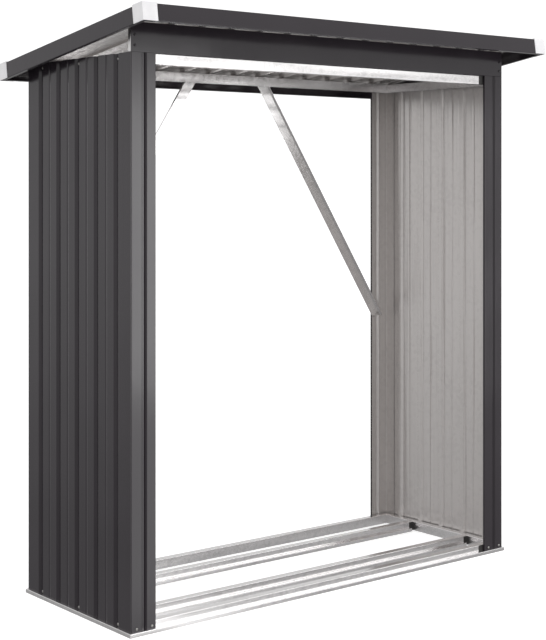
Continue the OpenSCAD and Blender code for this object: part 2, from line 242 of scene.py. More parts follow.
def shade(colour, factor):
    """A linear colour made lighter or darker."""
    return (*[min(1.0, c * factor) for c in colour[:3]], 1.0)


def galvanised_spangle(colours):
    """Hot-dip galvanised strip: bright zinc whose flakes of 6 to 12 mm differ a little in
    tone and gloss, over the slow waviness of thin rolled sheet."""
    mat, tree, shader = new_material("galvanised_spangle")
    if tree is None:
        return mat
    base = linear(colours.zinc)
    where = put(tree, "ShaderNodeTexCoord").outputs["Object"]
    warp = put(tree, "ShaderNodeTexNoise", {"Vector": where}, Scale=60.0, Detail=3.0)
    bent = put(
        tree,
        "ShaderNodeMix",
        {"A": where, "B": warp.outputs["Color"]},
        data_type="VECTOR",
        blend_type="MIX",
        Factor=0.006,
    )
    flakes = put(
        tree, "ShaderNodeTexVoronoi", {"Vector": bent.outputs["Result"]}, Scale=1 / 0.009
    )
    cloud = put(tree, "ShaderNodeTexNoise", {"Vector": where}, Scale=4.0, Detail=4.0)
    tone = put(tree, "ShaderNodeSeparateColor", {"Color": flakes.outputs["Color"]})
    both = put(
        tree,
        "ShaderNodeMath",
        {0: tone.outputs["Red"], 1: cloud.outputs["Fac"]},
        operation="ADD",
    )
    colour = ramp(
        put(tree, "ShaderNodeValToRGB", {"Fac": both.outputs[0]}),
        (0.2, shade(base, 0.93)),
        (1.0, shade(base, 1.02)),
    )
    rough = put(
        tree,
        "ShaderNodeMapRange",
        {"Value": both.outputs[0]},
        From_Min=0.2,
        From_Max=1.6,
        To_Min=0.20,
        To_Max=0.27,
    )
    # Rolled strip is wavy along its length, so the waves are stretched to 300 by 40 mm.
    stretch = put(tree, "ShaderNodeMapping", {"Vector": where})
    stretch.inputs["Scale"].default_value = (3.0, 3.0, 25.0)
    waves = put(
        tree, "ShaderNodeTexNoise", {"Vector": stretch.outputs["Vector"]}, Scale=1.0, Detail=1.0
    )
    bump = put(
        tree,
        "ShaderNodeBump",
        {"Height": waves.outputs["Fac"]},
        Strength=0.5,
        Distance=0.003,
    )
    tree.links.new(colour.outputs["Color"], shader.inputs["Base Color"])
    tree.links.new(rough.outputs["Result"], shader.inputs["Roughness"])
    tree.links.new(bump.outputs["Normal"], shader.inputs["Normal"])
    shader.inputs["Metallic"].default_value = 1.0
    return mat


def rolling_lines(tree, where):
    """Height of the faint lines, 15 to 40 mm apart, that the profiling rolls leave along a
    wall sheet. Drawn deeper than they are, so that they can be seen."""
    stretch = put(tree, "ShaderNodeMapping", {"Vector": where})
    stretch.inputs["Scale"].default_value = (45.0, 45.0, 0.6)
    return put(
        tree, "ShaderNodeTexNoise", {"Vector": stretch.outputs["Vector"]}, Scale=1.0, Detail=3.0
    ).outputs["Fac"]


def backing_coat(colours):
    """Thin grey epoxy service coat over zinc, as on the unseen side of painted strip:
    a pale grey sheen with the spangle just showing through."""
    mat, tree, shader = new_material("epoxy_backing_coat")
    if tree is None:
        return mat
    base = linear(colours.backing)
    where = put(tree, "ShaderNodeTexCoord").outputs["Object"]
    flakes = put(tree, "ShaderNodeTexVoronoi", {"Vector": where}, Scale=1 / 0.011)
    tone = put(tree, "ShaderNodeSeparateColor", {"Color": flakes.outputs["Color"]})
    cloud = put(tree, "ShaderNodeTexNoise", {"Vector": where}, Scale=3.0, Detail=5.0)
    both = put(
        tree,
        "ShaderNodeMath",
        {0: tone.outputs["Green"], 1: cloud.outputs["Fac"]},
        operation="ADD",
    )
    colour = ramp(
        put(tree, "ShaderNodeValToRGB", {"Fac": both.outputs[0]}),
        (0.1, shade(base, 0.93)),
        (1.0, shade(base, 1.04)),
    )
    grain = put(tree, "ShaderNodeTexNoise", {"Vector": where}, Scale=700.0, Detail=2.0)
    lines = put(
        tree,
        "ShaderNodeBump",
        {"Height": rolling_lines(tree, where)},
        Strength=1.0,
        Distance=0.004,
    )
    bump = put(
        tree,
        "ShaderNodeBump",
        {"Height": grain.outputs["Fac"], "Normal": lines.outputs["Normal"]},
        Strength=0.08,
        Distance=0.0003,
    )
    tree.links.new(colour.outputs["Color"], shader.inputs["Base Color"])
    tree.links.new(bump.outputs["Normal"], shader.inputs["Normal"])
    shader.inputs["Metallic"].default_value = 0.7
    shader.inputs["Roughness"].default_value = 0.24
    return mat


def polyester_coil_coat(colours):
    """Anthracite polyester coil coat: glossy paint with a fine orange peel, a slow
    waviness of the thin sheet and a slight cloudiness in its tone."""
    mat, tree, shader = new_material("polyester_coil_coat")
    if tree is None:
        return mat
    base = linear(colours.paint)
    where = put(tree, "ShaderNodeTexCoord").outputs["Object"]
    cloud = put(tree, "ShaderNodeTexNoise", {"Vector": where}, Scale=6.0, Detail=6.0)
    colour = ramp(
        put(tree, "ShaderNodeValToRGB", {"Fac": cloud.outputs["Fac"]}),
        (0.3, shade(base, 0.94)),
        (0.7, shade(base, 1.06)),
    )
    rough = put(
        tree,
        "ShaderNodeMapRange",
        {"Value": cloud.outputs["Fac"]},
        From_Min=0.3,
        From_Max=0.7,
        To_Min=0.12,
        To_Max=0.16,
    )
    peel = put(tree, "ShaderNodeTexNoise", {"Vector": where}, Scale=500.0, Detail=1.0)
    waves = put(tree, "ShaderNodeTexNoise", {"Vector": where}, Scale=4.0, Detail=1.0)
    low = put(
        tree,
        "ShaderNodeBump",
        {"Height": waves.outputs["Fac"]},
        Strength=0.35,
        Distance=0.004,
    )
    lines = put(
        tree,
        "ShaderNodeBump",
        {"Height": rolling_lines(tree, where), "Normal": low.outputs["Normal"]},
        Strength=0.5,
        Distance=0.0005,
    )
    fine = put(
        tree,
        "ShaderNodeBump",
        {"Height": peel.outputs["Fac"], "Normal": lines.outputs["Normal"]},
        Strength=0.10,
        Distance=0.0004,
    )
    tree.links.new(colour.outputs["Color"], shader.inputs["Base Color"])
    tree.links.new(rough.outputs["Result"], shader.inputs["Roughness"])
    tree.links.new(fine.outputs["Normal"], shader.inputs["Normal"])
    shader.inputs["IOR"].default_value = 1.5
    return mat


def moulded_polypropylene(name, hex_text, roughness):
    """Injection-moulded polypropylene: even colour with a fine spark-eroded mould grain."""
    mat, tree, shader = new_material(name)
    if tree is None:
        return mat
    base = linear(hex_text)
    where = put(tree, "ShaderNodeTexCoord").outputs["Object"]
    flow = put(tree, "ShaderNodeTexNoise", {"Vector": where}, Scale=25.0, Detail=4.0)
    colour = ramp(
        put(tree, "ShaderNodeValToRGB", {"Fac": flow.outputs["Fac"]}),
        (0.3, shade(base, 0.95)),
        (0.7, shade(base, 1.03)),
    )
    grit = put(tree, "ShaderNodeTexNoise", {"Vector": where}, Scale=1200.0, Detail=2.0)
    rough = put(
        tree,
        "ShaderNodeMapRange",
        {"Value": flow.outputs["Fac"]},
        From_Min=0.3,
        From_Max=0.7,
        To_Min=roughness - 0.05,
        To_Max=roughness + 0.05,
    )
    bump = put(
        tree,
        "ShaderNodeBump",
        {"Height": grit.outputs["Fac"]},
        Strength=0.2,
        Distance=0.0003,
    )
    tree.links.new(colour.outputs["Color"], shader.inputs["Base Color"])
    tree.links.new(rough.outputs["Result"], shader.inputs["Roughness"])
    tree.links.new(bump.outputs["Normal"], shader.inputs["Normal"])
    shader.inputs["IOR"].default_value = 1.49
    return mat


def plated_screw(colours):
    """Bright zinc-plated screw steel: clean grey metal with turned marks."""
    mat, tree, shader = new_material("zinc_plated_screw")
    if tree is None:
        return mat
    base = linear(colours.screw)
    where = put(tree, "ShaderNodeTexCoord").outputs["Object"]
    marks = put(tree, "ShaderNodeTexNoise", {"Vector": where}, Scale=700.0, Detail=3.0)
    colour = ramp(
        put(tree, "ShaderNodeValToRGB", {"Fac": marks.outputs["Fac"]}),
        (0.35, shade(base, 0.85)),
        (0.65, shade(base, 1.1)),
    )
    bump = put(
        tree,
        "ShaderNodeBump",
        {"Height": marks.outputs["Fac"]},
        Strength=0.2,
        Distance=0.0002,
    )
    tree.links.new(colour.outputs["Color"], shader.inputs["Base Color"])
    tree.links.new(bump.outputs["Normal"], shader.inputs["Normal"])
    shader.inputs["Metallic"].default_value = 1.0
    shader.inputs["Roughness"].default_value = 0.32
    return mat


def seamless_paper(colours, glow):
    """Matt white paper, lit from behind so that it reads as an even pale ground."""
    mat, tree, shader = new_material("seamless_paper")
    if tree is None:
        return mat
    where = put(tree, "ShaderNodeTexCoord").outputs["Object"]
    fibre = put(tree, "ShaderNodeTexNoise", {"Vector": where}, Scale=300.0, Detail=3.0)
    base = linear(colours.floor)
    colour = ramp(
        put(tree, "ShaderNodeValToRGB", {"Fac": fibre.outputs["Fac"]}),
        (0.3, shade(base, 0.99)),
        (0.7, shade(base, 1.0)),
    )
    tree.links.new(colour.outputs["Color"], shader.inputs["Base Color"])
    shader.inputs["Roughness"].default_value = 0.9
    shader.inputs["Emission Color"].default_value = base
    shader.inputs["Emission Strength"].default_value = glow
    return mat


# ---------- sheet metal ----------


def fillet(path, radius):
    """The path with each bend rounded to radius, as far as its straights allow."""
    points = [Vector(p) for p in path]
    out = [points[0]]
    for i in range(1, len(points) - 1):
        a, b, c = points[i - 1], points[i], points[i + 1]
        before, after = (a - b).normalized(), (c - b).normalized()
        turn = math.pi - before.angle(after)
        if turn < 1e-3:
            out.append(b)
            continue
        reach = radius * math.tan(turn / 2)
        room = 0.48 * min((a - b).length, (c - b).length)
        r = radius * min(1.0, room / reach)
        reach = r * math.tan(turn / 2)
        steps = max(2, math.ceil(turn / math.radians(15)))
        start = b + before * reach
        centre = b + (before + after).normalized() * (r / math.cos(turn / 2))
        side = 1 if (b - a).x * (c - b).y - (b - a).y * (c - b).x > 0 else -1
        for k in range(steps + 1):
            spoke = start - centre
            angle = side * turn * k / steps
            out.append(
                centre
                + Vector(
                    (
                        spoke.x * math.cos(angle) - spoke.y * math.sin(angle),
                        spoke.x * math.sin(angle) + spoke.y * math.cos(angle),
                    )
                )
            )
    out.append(points[-1])
    return out


def two_sides(path, thickness):
    """Points of the path moved half a thickness to its left and to its right."""
    left, right = [], []
    for i, p in enumerate(path):
        into = (p - path[i - 1]).normalized() if i else None
        away = (path[i + 1] - p).normalized() if i < len(path) - 1 else into
        into = into or away
        n0, n1 = Vector((-into.y, into.x)), Vector((-away.y, away.x))
        m = (n0 + n1).normalized()
        reach = thickness / 2 / max(0.3, m.dot(n0))
        left.append(p + m * reach)
        right.append(p - m * reach)
    return left, right


def folded(name, path, thickness, radius, place, ends, finishes, stations=2):
    """A length of folded sheet. path is its section's middle line, place takes a point
    (along, section x, section y) to the object, and ends gives where each end lies for a
    section x. finishes are the left side's, the right side's and the cut edges' materials."""
    middle = fillet(path, radius)
    left, right = two_sides(middle, thickness)
    mesh = bpy.data.meshes.new(name)
    bm = bmesh.new()
    rows = []
    for k in range(stations):
        share = k / (stations - 1)
        row = []
        for side in (left, right):
            for p in side:
                along = ends(p.x)[0] * (1 - share) + ends(p.x)[1] * share
                row.append(bm.verts.new(place @ Vector((along, p.x, p.y))))
        rows.append(row)
    n = len(middle)
    for a, b in zip(rows, rows[1:]):
        for i in range(n - 1):
            bm.faces.new((a[i], a[i + 1], b[i + 1], b[i])).material_index = 0
            bm.faces.new((a[n + i + 1], a[n + i], b[n + i], b[n + i + 1])).material_index = 1
        bm.faces.new((a[n], a[0], b[0], b[n])).material_index = 2
        bm.faces.new((a[n - 1], a[2 * n - 1], b[2 * n - 1], b[n - 1])).material_index = 2
    for row, flip in ((rows[0], False), (rows[-1], True)):
        for i in range(n - 1):
            quad = [row[i], row[n + i], row[n + i + 1], row[i + 1]]
            face = bm.faces.new(quad[::-1] if flip else quad)
            face.material_index = 2
    bmesh.ops.recalc_face_normals(bm, faces=bm.faces)
    bm.to_mesh(mesh)
    bm.free()
    for finish in finishes:
        mesh.materials.append(finish)
    mesh.shade_smooth()
    mesh.set_sharp_from_angle(angle=math.radians(35))
    piece = bpy.data.objects.new(name, mesh)
    bpy.context.scene.collection.objects.link(piece)
    return piece


def cut_away(piece, low, high):
    """Cuts a box out of the piece."""
    box = bpy.data.meshes.new("cutter")
    bm = bmesh.new()
    size = high - low
    place = Matrix.Translation((low + high) / 2) @ Matrix.Diagonal((*size, 1))
    bmesh.ops.create_cube(bm, size=1, matrix=place)
    bm.to_mesh(box)
    bm.free()
    cutter = bpy.data.objects.new("cutter", box)
    bpy.context.scene.collection.objects.link(cutter)
    knife = piece.modifiers.new("cut", "BOOLEAN")
    knife.object, knife.operation, knife.solver = cutter, "DIFFERENCE", "EXACT"
    graph = bpy.context.evaluated_depsgraph_get()
    done = bpy.data.meshes.new_from_object(piece.evaluated_get(graph))
    piece.modifiers.remove(knife)
    old, piece.data = piece.data, done
    bpy.data.meshes.remove(old)
    bpy.data.objects.remove(cutter)
    bpy.data.meshes.remove(box)
    piece.data.set_sharp_from_angle(angle=math.radians(35))


def stand_for(piece, node):
    """The piece replaces its CAD node and rides on the store's one body."""
    weighted = piece.modifiers.new("even_flats", "WEIGHTED_NORMAL")
    weighted.keep_sharp = True
    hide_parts(node)
    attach(piece, BODY)
    return piece


def axes(origin, along, section_x, section_y):
    """The matrix that takes (along, section x, section y) to the object."""
    m = Matrix.Identity(4)
    for column, vector in enumerate((along, section_x, section_y, origin)):
        for row in range(3):
            m[row][column] = vector[row]
    return m


def paint_node(node, material, bevel):
    """Gives a CAD node its material and rounds its edges."""
    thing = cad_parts[node]
    thing.data.materials.clear()
    thing.data.materials.append(material)
    edge = thing.modifiers.new("rounded_edges", "BEVEL")
    edge.width = bevel
    edge.segments = 3
    edge.limit_method = "ANGLE"
    edge.angle_limit = math.radians(40)
    edge.harden_normals = True
    return thing


def groove(centre, s, flat=None):
    """Section points of one groove, cut towards negative section y."""
    flat = s.groove_floor if flat is None else flat
    mouth = flat / 2 + s.groove_side
    return [
        (centre - mouth, 0),
        (centre - flat / 2, -s.groove_depth),
        (centre + flat / 2, -s.groove_depth),
        (centre + mouth, 0),
    ]


def crease(centre, s):
    """Section points of one shallow stiffening crease."""
    return [(centre - s.crease_w / 2, 0), (centre, -s.crease_depth), (centre + s.crease_w / 2, 0)]


X, Y, Z = Vector((1, 0, 0)), Vector((0, 1, 0)), Vector((0, 0, 1))


class StoreOperator:
    """What every step of the store shares."""

    bl_options = {"REGISTER", "UNDO"}

    @property
    def sizes(self):
        return bpy.context.scene.log_store_sizes

    @property
    def colours(self):
        return bpy.context.scene.log_store_colours


class LOGSTORE_OT_base(StoreOperator, bpy.types.Operator):
    """Roll the four base rails and the two joists, and finish the joist sockets"""

    bl_idname = "logstore.base"
    bl_label = "Base frame"

    def section(self):
        s = self.sizes
        half = s.sheet_t / 2
        web = s.lip_w + s.sheet_t + s.groove_depth + s.fit
        inner = web + s.rail_w
        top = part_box("base_front_rail")[1].z
        return [
            (half, 0),
            (half, s.lip_h - half),
            (web + half, s.lip_h - half),
            (web + half, top - half),
            (inner - half, top - half),
            (inner - half, 0),
        ]

    def execute(self, context):
        s = self.sizes
        zinc = galvanised_spangle(self.colours)
        finishes = (zinc, zinc, zinc)
        web = s.lip_w + s.sheet_t + s.groove_depth + s.fit
        over = 2 * MM
        front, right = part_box("base_front_rail"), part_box("base_right_rail")
        rear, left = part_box("base_rear_rail"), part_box("base_left_rail")
        rails = (
            ("base_front_rail", front, X, Y, Vector((front[0].x, front[0].y, 0))),
            ("base_rear_rail", rear, -X, -Y, Vector((rear[1].x, rear[1].y, 0))),
            ("base_left_rail", left, -Y, X, Vector((left[0].x, left[1].y, 0))),
            ("base_right_rail", right, Y, -X, Vector((right[1].x, right[0].y, 0))),
        )
        for node, box, along, inward, corner in rails:
            size = box[1] - box[0]
            length = abs(size.dot(along))
            piece = folded(
                node + "_rolled",
                self.section(),
                s.sheet_t,
                s.bend_r,
                axes(corner, along, inward, Z),
                lambda x, length=length: (x, length - x),
                finishes,
            )
            if node == "base_front_rail":
                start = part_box("front_right_post")[0].x - s.socket_at
                cut_away(
                    piece,
                    Vector((start, box[0].y + web - over, s.lip_h)),
                    Vector((start + s.front_socket_l, box[0].y + web + over, box[1].z - s.sheet_t)),
                )
            stand_for(piece, node)
        for node in ("front_joist", "rear_joist"):
            low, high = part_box(node)
            piece = folded(
                node + "_rolled",
                self.section(),
                s.sheet_t,
                s.bend_r,
                axes(Vector((low.x, low.y, 0)), X, Y, Z),
                lambda x, length=high.x - low.x: (0, length),
                finishes,
            )
            for start in (low.x - over, high.x - s.socket_l):
                cut_away(
                    piece,
                    Vector((start, low.y - over, low.z - over)),
                    Vector(
                        (
                            start + s.socket_l + over,
                            low.y + web + s.sheet_t + s.fit,
                            high.z - s.sheet_t,
                        )
                    ),
                )
            stand_for(piece, node)
        black = moulded_polypropylene("black_polypropylene", self.colours.black, 0.5)
        for node in ("left_joist_sockets", "right_joist_sockets", "front_rail_socket"):
            paint_node(node, black, 0.6 * MM)
        return {"FINISHED"}


class LOGSTORE_OT_walls(StoreOperator, bpy.types.Operator):
    """Roll the two ribbed side walls"""

    bl_idname = "logstore.walls"
    bl_label = "Side walls"

    def execute(self, context):
        s = self.sizes
        paint, backing = polyester_coil_coat(self.colours), backing_coat(self.colours)
        for node, outward in (("left_wall", -X), ("right_wall", X)):
            low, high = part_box(node)
            depth = high.y - low.y
            first = depth / 2 - (s.wall_grooves - 1) / 2 * s.wall_pitch
            path = [(0, 0)]
            for i in range(s.wall_grooves):
                path += groove(first + i * s.wall_pitch, s)
                if i < s.wall_grooves - 1:
                    path += crease(first + (i + 0.5) * s.wall_pitch, s)
            path.append((depth, 0))
            face = low.x if outward.x < 0 else high.x
            origin = Vector((face, low.y, low.z)) - outward * (s.sheet_t / 2)
            piece = folded(
                node + "_rolled",
                path,
                s.sheet_t,
                s.groove_r,
                axes(origin, Z, Y, outward),
                lambda x, length=high.z - low.z: (0, length),
                (paint, backing, paint),
                stations=5,
            )
            stand_for(piece, node)
        return {"FINISHED"}


class LOGSTORE_OT_posts(StoreOperator, bpy.types.Operator):
    """Fold the four corner posts"""

    bl_idname = "logstore.posts"
    bl_label = "Corner posts"

    def execute(self, context):
        s = self.sizes
        paint, backing = polyester_coil_coat(self.colours), backing_coat(self.colours)
        half = s.sheet_t / 2
        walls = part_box("left_wall"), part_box("right_wall")
        wall_left, wall_right = walls[0][0].x, walls[1][1].x
        posts = (
            ("front_left_post", wall_left, X, Y, False),
            ("front_right_post", wall_right, -X, Y, True),
            ("rear_left_post", wall_left, X, -Y, True),
            ("rear_right_post", wall_right, -X, -Y, False),
        )
        for node, outer, along, inward, mirrored in posts:
            low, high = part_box(node)
            tuck = s.sheet_t + s.fit
            width = high.x - low.x + tuck
            at = width - s.post_groove if mirrored else s.post_groove
            path = [(tuck + half, s.post_side), (tuck + half, half)]
            path += [(x, half - y) for x, y in groove(at, s, s.post_groove_floor)]
            path += [(width - half, half), (width - half, s.sheet_t + s.groove_depth)]
            face = low.y if inward.y > 0 else high.y
            piece = folded(
                node + "_folded",
                path,
                s.sheet_t,
                s.bend_r,
                axes(Vector((outer, face, low.z)), Z, along, inward),
                lambda x, length=high.z - low.z: (0, length),
                (backing, paint, paint),
                stations=5,
            )
            stand_for(piece, node)
        return {"FINISHED"}


class LOGSTORE_OT_top_ring(StoreOperator, bpy.types.Operator):
    """Roll the four channels of the top ring and finish their connectors"""

    bl_idname = "logstore.top_ring"
    bl_label = "Top ring"

    def execute(self, context):
        s = self.sizes
        zinc = galvanised_spangle(self.colours)
        half = s.sheet_t / 2
        plans = (
            ("top_front_rail", X, Y, False, False),
            ("top_rear_rail", -X, -Y, True, True),
            ("top_left_rail", -Y, X, True, False),
            ("top_right_rail", Y, -X, False, True),
        )
        for node, along, inward, mitre_start, mitre_end in plans:
            low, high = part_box(node)
            size = high - low
            corner = Vector(
                (
                    low.x if (along + inward).x > 0 else high.x,
                    low.y if (along + inward).y > 0 else high.y,
                    0,
                )
            )
            length = abs(size.dot(along))
            top, bottom = high.z, low.z
            path = [(half, bottom), (half, top - half)]
            path += [(s.ring_w - half, top - half), (s.ring_w - half, bottom)]
            piece = folded(
                node + "_rolled",
                path,
                s.sheet_t,
                s.bend_r,
                axes(corner, along, inward, Z),
                lambda x, length=length, a=mitre_start, b=mitre_end: (
                    x if a else 0,
                    length - x if b else length,
                ),
                (zinc, zinc, zinc),
            )
            stand_for(piece, node)
        black = moulded_polypropylene("black_polypropylene", self.colours.black, 0.5)
        # These connectors are black plastic blocks, and their black is also painted shade: it
        # stands for the shaded gap between the front rail's ends and the posts.
        for node in ("top_front_left_connector", "top_front_right_connector"):
            paint_node(node, black, 0.8 * MM)
        return {"FINISHED"}


class LOGSTORE_OT_header(StoreOperator, bpy.types.Operator):
    """Fold the header over the front and the tie at each of its ends"""

    bl_idname = "logstore.header"
    bl_label = "Header"

    def execute(self, context):
        s = self.sizes
        paint, backing = polyester_coil_coat(self.colours), backing_coat(self.colours)
        zinc = galvanised_spangle(self.colours)
        half = s.sheet_t / 2
        low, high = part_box("header")
        fall = math.tan(s.roof_slope)
        top = high.z - low.z - half / math.cos(s.roof_slope)
        path = [
            (s.header_fold, half),
            (half, half),
            (half, top - half * fall),
            (s.header_fold, top - s.header_fold * fall),
        ]
        piece = folded(
            "header_folded",
            path,
            s.sheet_t,
            s.bend_r,
            axes(low, X, Y, Z),
            lambda x, length=high.x - low.x: (0, length),
            (paint, backing, paint),
            stations=3,
        )
        stand_for(piece, "header")
        for node, inward in (("header_left_tie", X), ("header_right_tie", -X)):
            low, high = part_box(node)
            reach = high.y - low.y
            height = high.z - low.z
            corner = Vector((low.x if inward.x > 0 else high.x, low.y, low.z))
            piece = folded(
                node + "_folded",
                [(s.tie_w, half), (half, half), (half, reach)],
                s.sheet_t,
                s.bend_r,
                axes(corner, Z, inward, Y),
                lambda x, height=height: (0, height),
                (zinc, zinc, zinc),
            )
            for vertex in piece.data.vertices:
                ceiling = high.z - (vertex.co.y - low.y) * fall
                vertex.co.z = min(vertex.co.z, ceiling)
            stand_for(piece, node)
        return {"FINISHED"}


class LOGSTORE_OT_braces(StoreOperator, bpy.types.Operator):
    """Finish the two angle braces across the rear corners"""

    bl_idname = "logstore.braces"
    bl_label = "Rear braces"

    def execute(self, context):
        zinc = galvanised_spangle(self.colours)
        for node in ("left_brace", "right_brace"):
            paint_node(node, zinc, 0.3 * MM)
        return {"FINISHED"}


def roof_place(s):
    """The tilted frame of the roof: its front bottom left corner, and its axes."""
    low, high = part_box("front_fascia")
    slope = s.roof_slope
    back = Vector((0, math.cos(slope), -math.sin(slope)))
    up = Vector((0, math.sin(slope), math.cos(slope)))
    start = Vector((low.x, low.y, high.z - s.fascia_h * math.cos(slope)))
    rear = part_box("rear_fascia")[1].y
    length = (rear - low.y - s.fascia_h * math.sin(slope)) / math.cos(slope)
    return start, back, up, high.x - low.x, length


class LOGSTORE_OT_roof_sheets(StoreOperator, bpy.types.Operator):
    """Roll the three lapped roof sheets"""

    bl_idname = "logstore.roof_sheets"
    bl_label = "Roof sheets"

    def execute(self, context):
        s = self.sizes
        paint, backing = polyester_coil_coat(self.colours), backing_coat(self.colours)
        zinc = galvanised_spangle(self.colours)
        start, back, up, width, length = roof_place(s)
        edge = s.sheet_t + s.fit
        flat = s.fascia_h - s.fascia_clear - s.sheet_t / 2
        nodes = ("roof_sheet_left", "roof_sheet_middle", "roof_sheet_right")
        for index, node in enumerate(nodes):
            first = s.roof_groove_from + index * s.sheet_grooves * s.roof_groove_pitch
            begin = edge if index == 0 else first - s.roof_groove_pitch / 2
            path = [(begin, 0)]
            if index:
                path = [(begin - s.sheet_lap, edge), (begin - edge, edge)] + path
            else:
                path += crease(first - s.roof_groove_pitch / 2, s)
            for i in range(s.sheet_grooves):
                path += groove(first + i * s.roof_groove_pitch, s)
                if i < s.sheet_grooves - 1:
                    path += crease(first + (i + 0.5) * s.roof_groove_pitch, s)
            end = width - edge
            if index < 2:
                end = first + (s.sheet_grooves - 0.5) * s.roof_groove_pitch
                end -= s.fit + 2 * s.sheet_t
            path.append((end, 0))
            piece = folded(
                node + "_rolled",
                path,
                s.sheet_t,
                s.groove_r,
                axes(start + up * flat + back * edge, back, X, up),
                lambda x, length=length: (0, length - 2 * edge),
                (paint, backing, zinc),
                stations=4,
            )
            stand_for(piece, node)
        return {"FINISHED"}


class LOGSTORE_OT_fascias(StoreOperator, bpy.types.Operator):
    """Fold the four fascias round the roof"""

    bl_idname = "logstore.fascias"
    bl_label = "Fascias"

    def execute(self, context):
        s = self.sizes
        paint = polyester_coil_coat(self.colours)
        start, back, up, width, length = roof_place(s)
        half = s.sheet_t / 2
        path = [
            (s.fascia_fold, half),
            (half, half),
            (half, s.fascia_h - half),
            (s.fascia_fold, s.fascia_h - half),
        ]
        plans = (
            ("front_fascia", start, X, back, width),
            ("rear_fascia", start + X * width + back * length, -X, -back, width),
            ("left_fascia", start + back * length, -back, X, length),
            ("right_fascia", start + X * width, back, -X, length),
        )
        for node, corner, along, inward, span in plans:
            piece = folded(
                node + "_folded",
                path,
                s.sheet_t,
                s.bend_r,
                axes(corner, along, inward, up),
                lambda x, span=span: (x, span - x),
                (paint, paint, paint),
                stations=3,
            )
            stand_for(piece, node)
        return {"FINISHED"}


class LOGSTORE_OT_caps(StoreOperator, bpy.types.Operator):
    """Finish the four moulded corner caps"""

    bl_idname = "logstore.caps"
    bl_label = "Corner caps"

    def execute(self, context):
        white = moulded_polypropylene("white_polypropylene", self.colours.white, 0.38)
        for node in ("front_left_cap", "front_right_cap", "rear_left_cap", "rear_right_cap"):
            paint_node(node, white, 0.9 * MM)
        return {"FINISHED"}


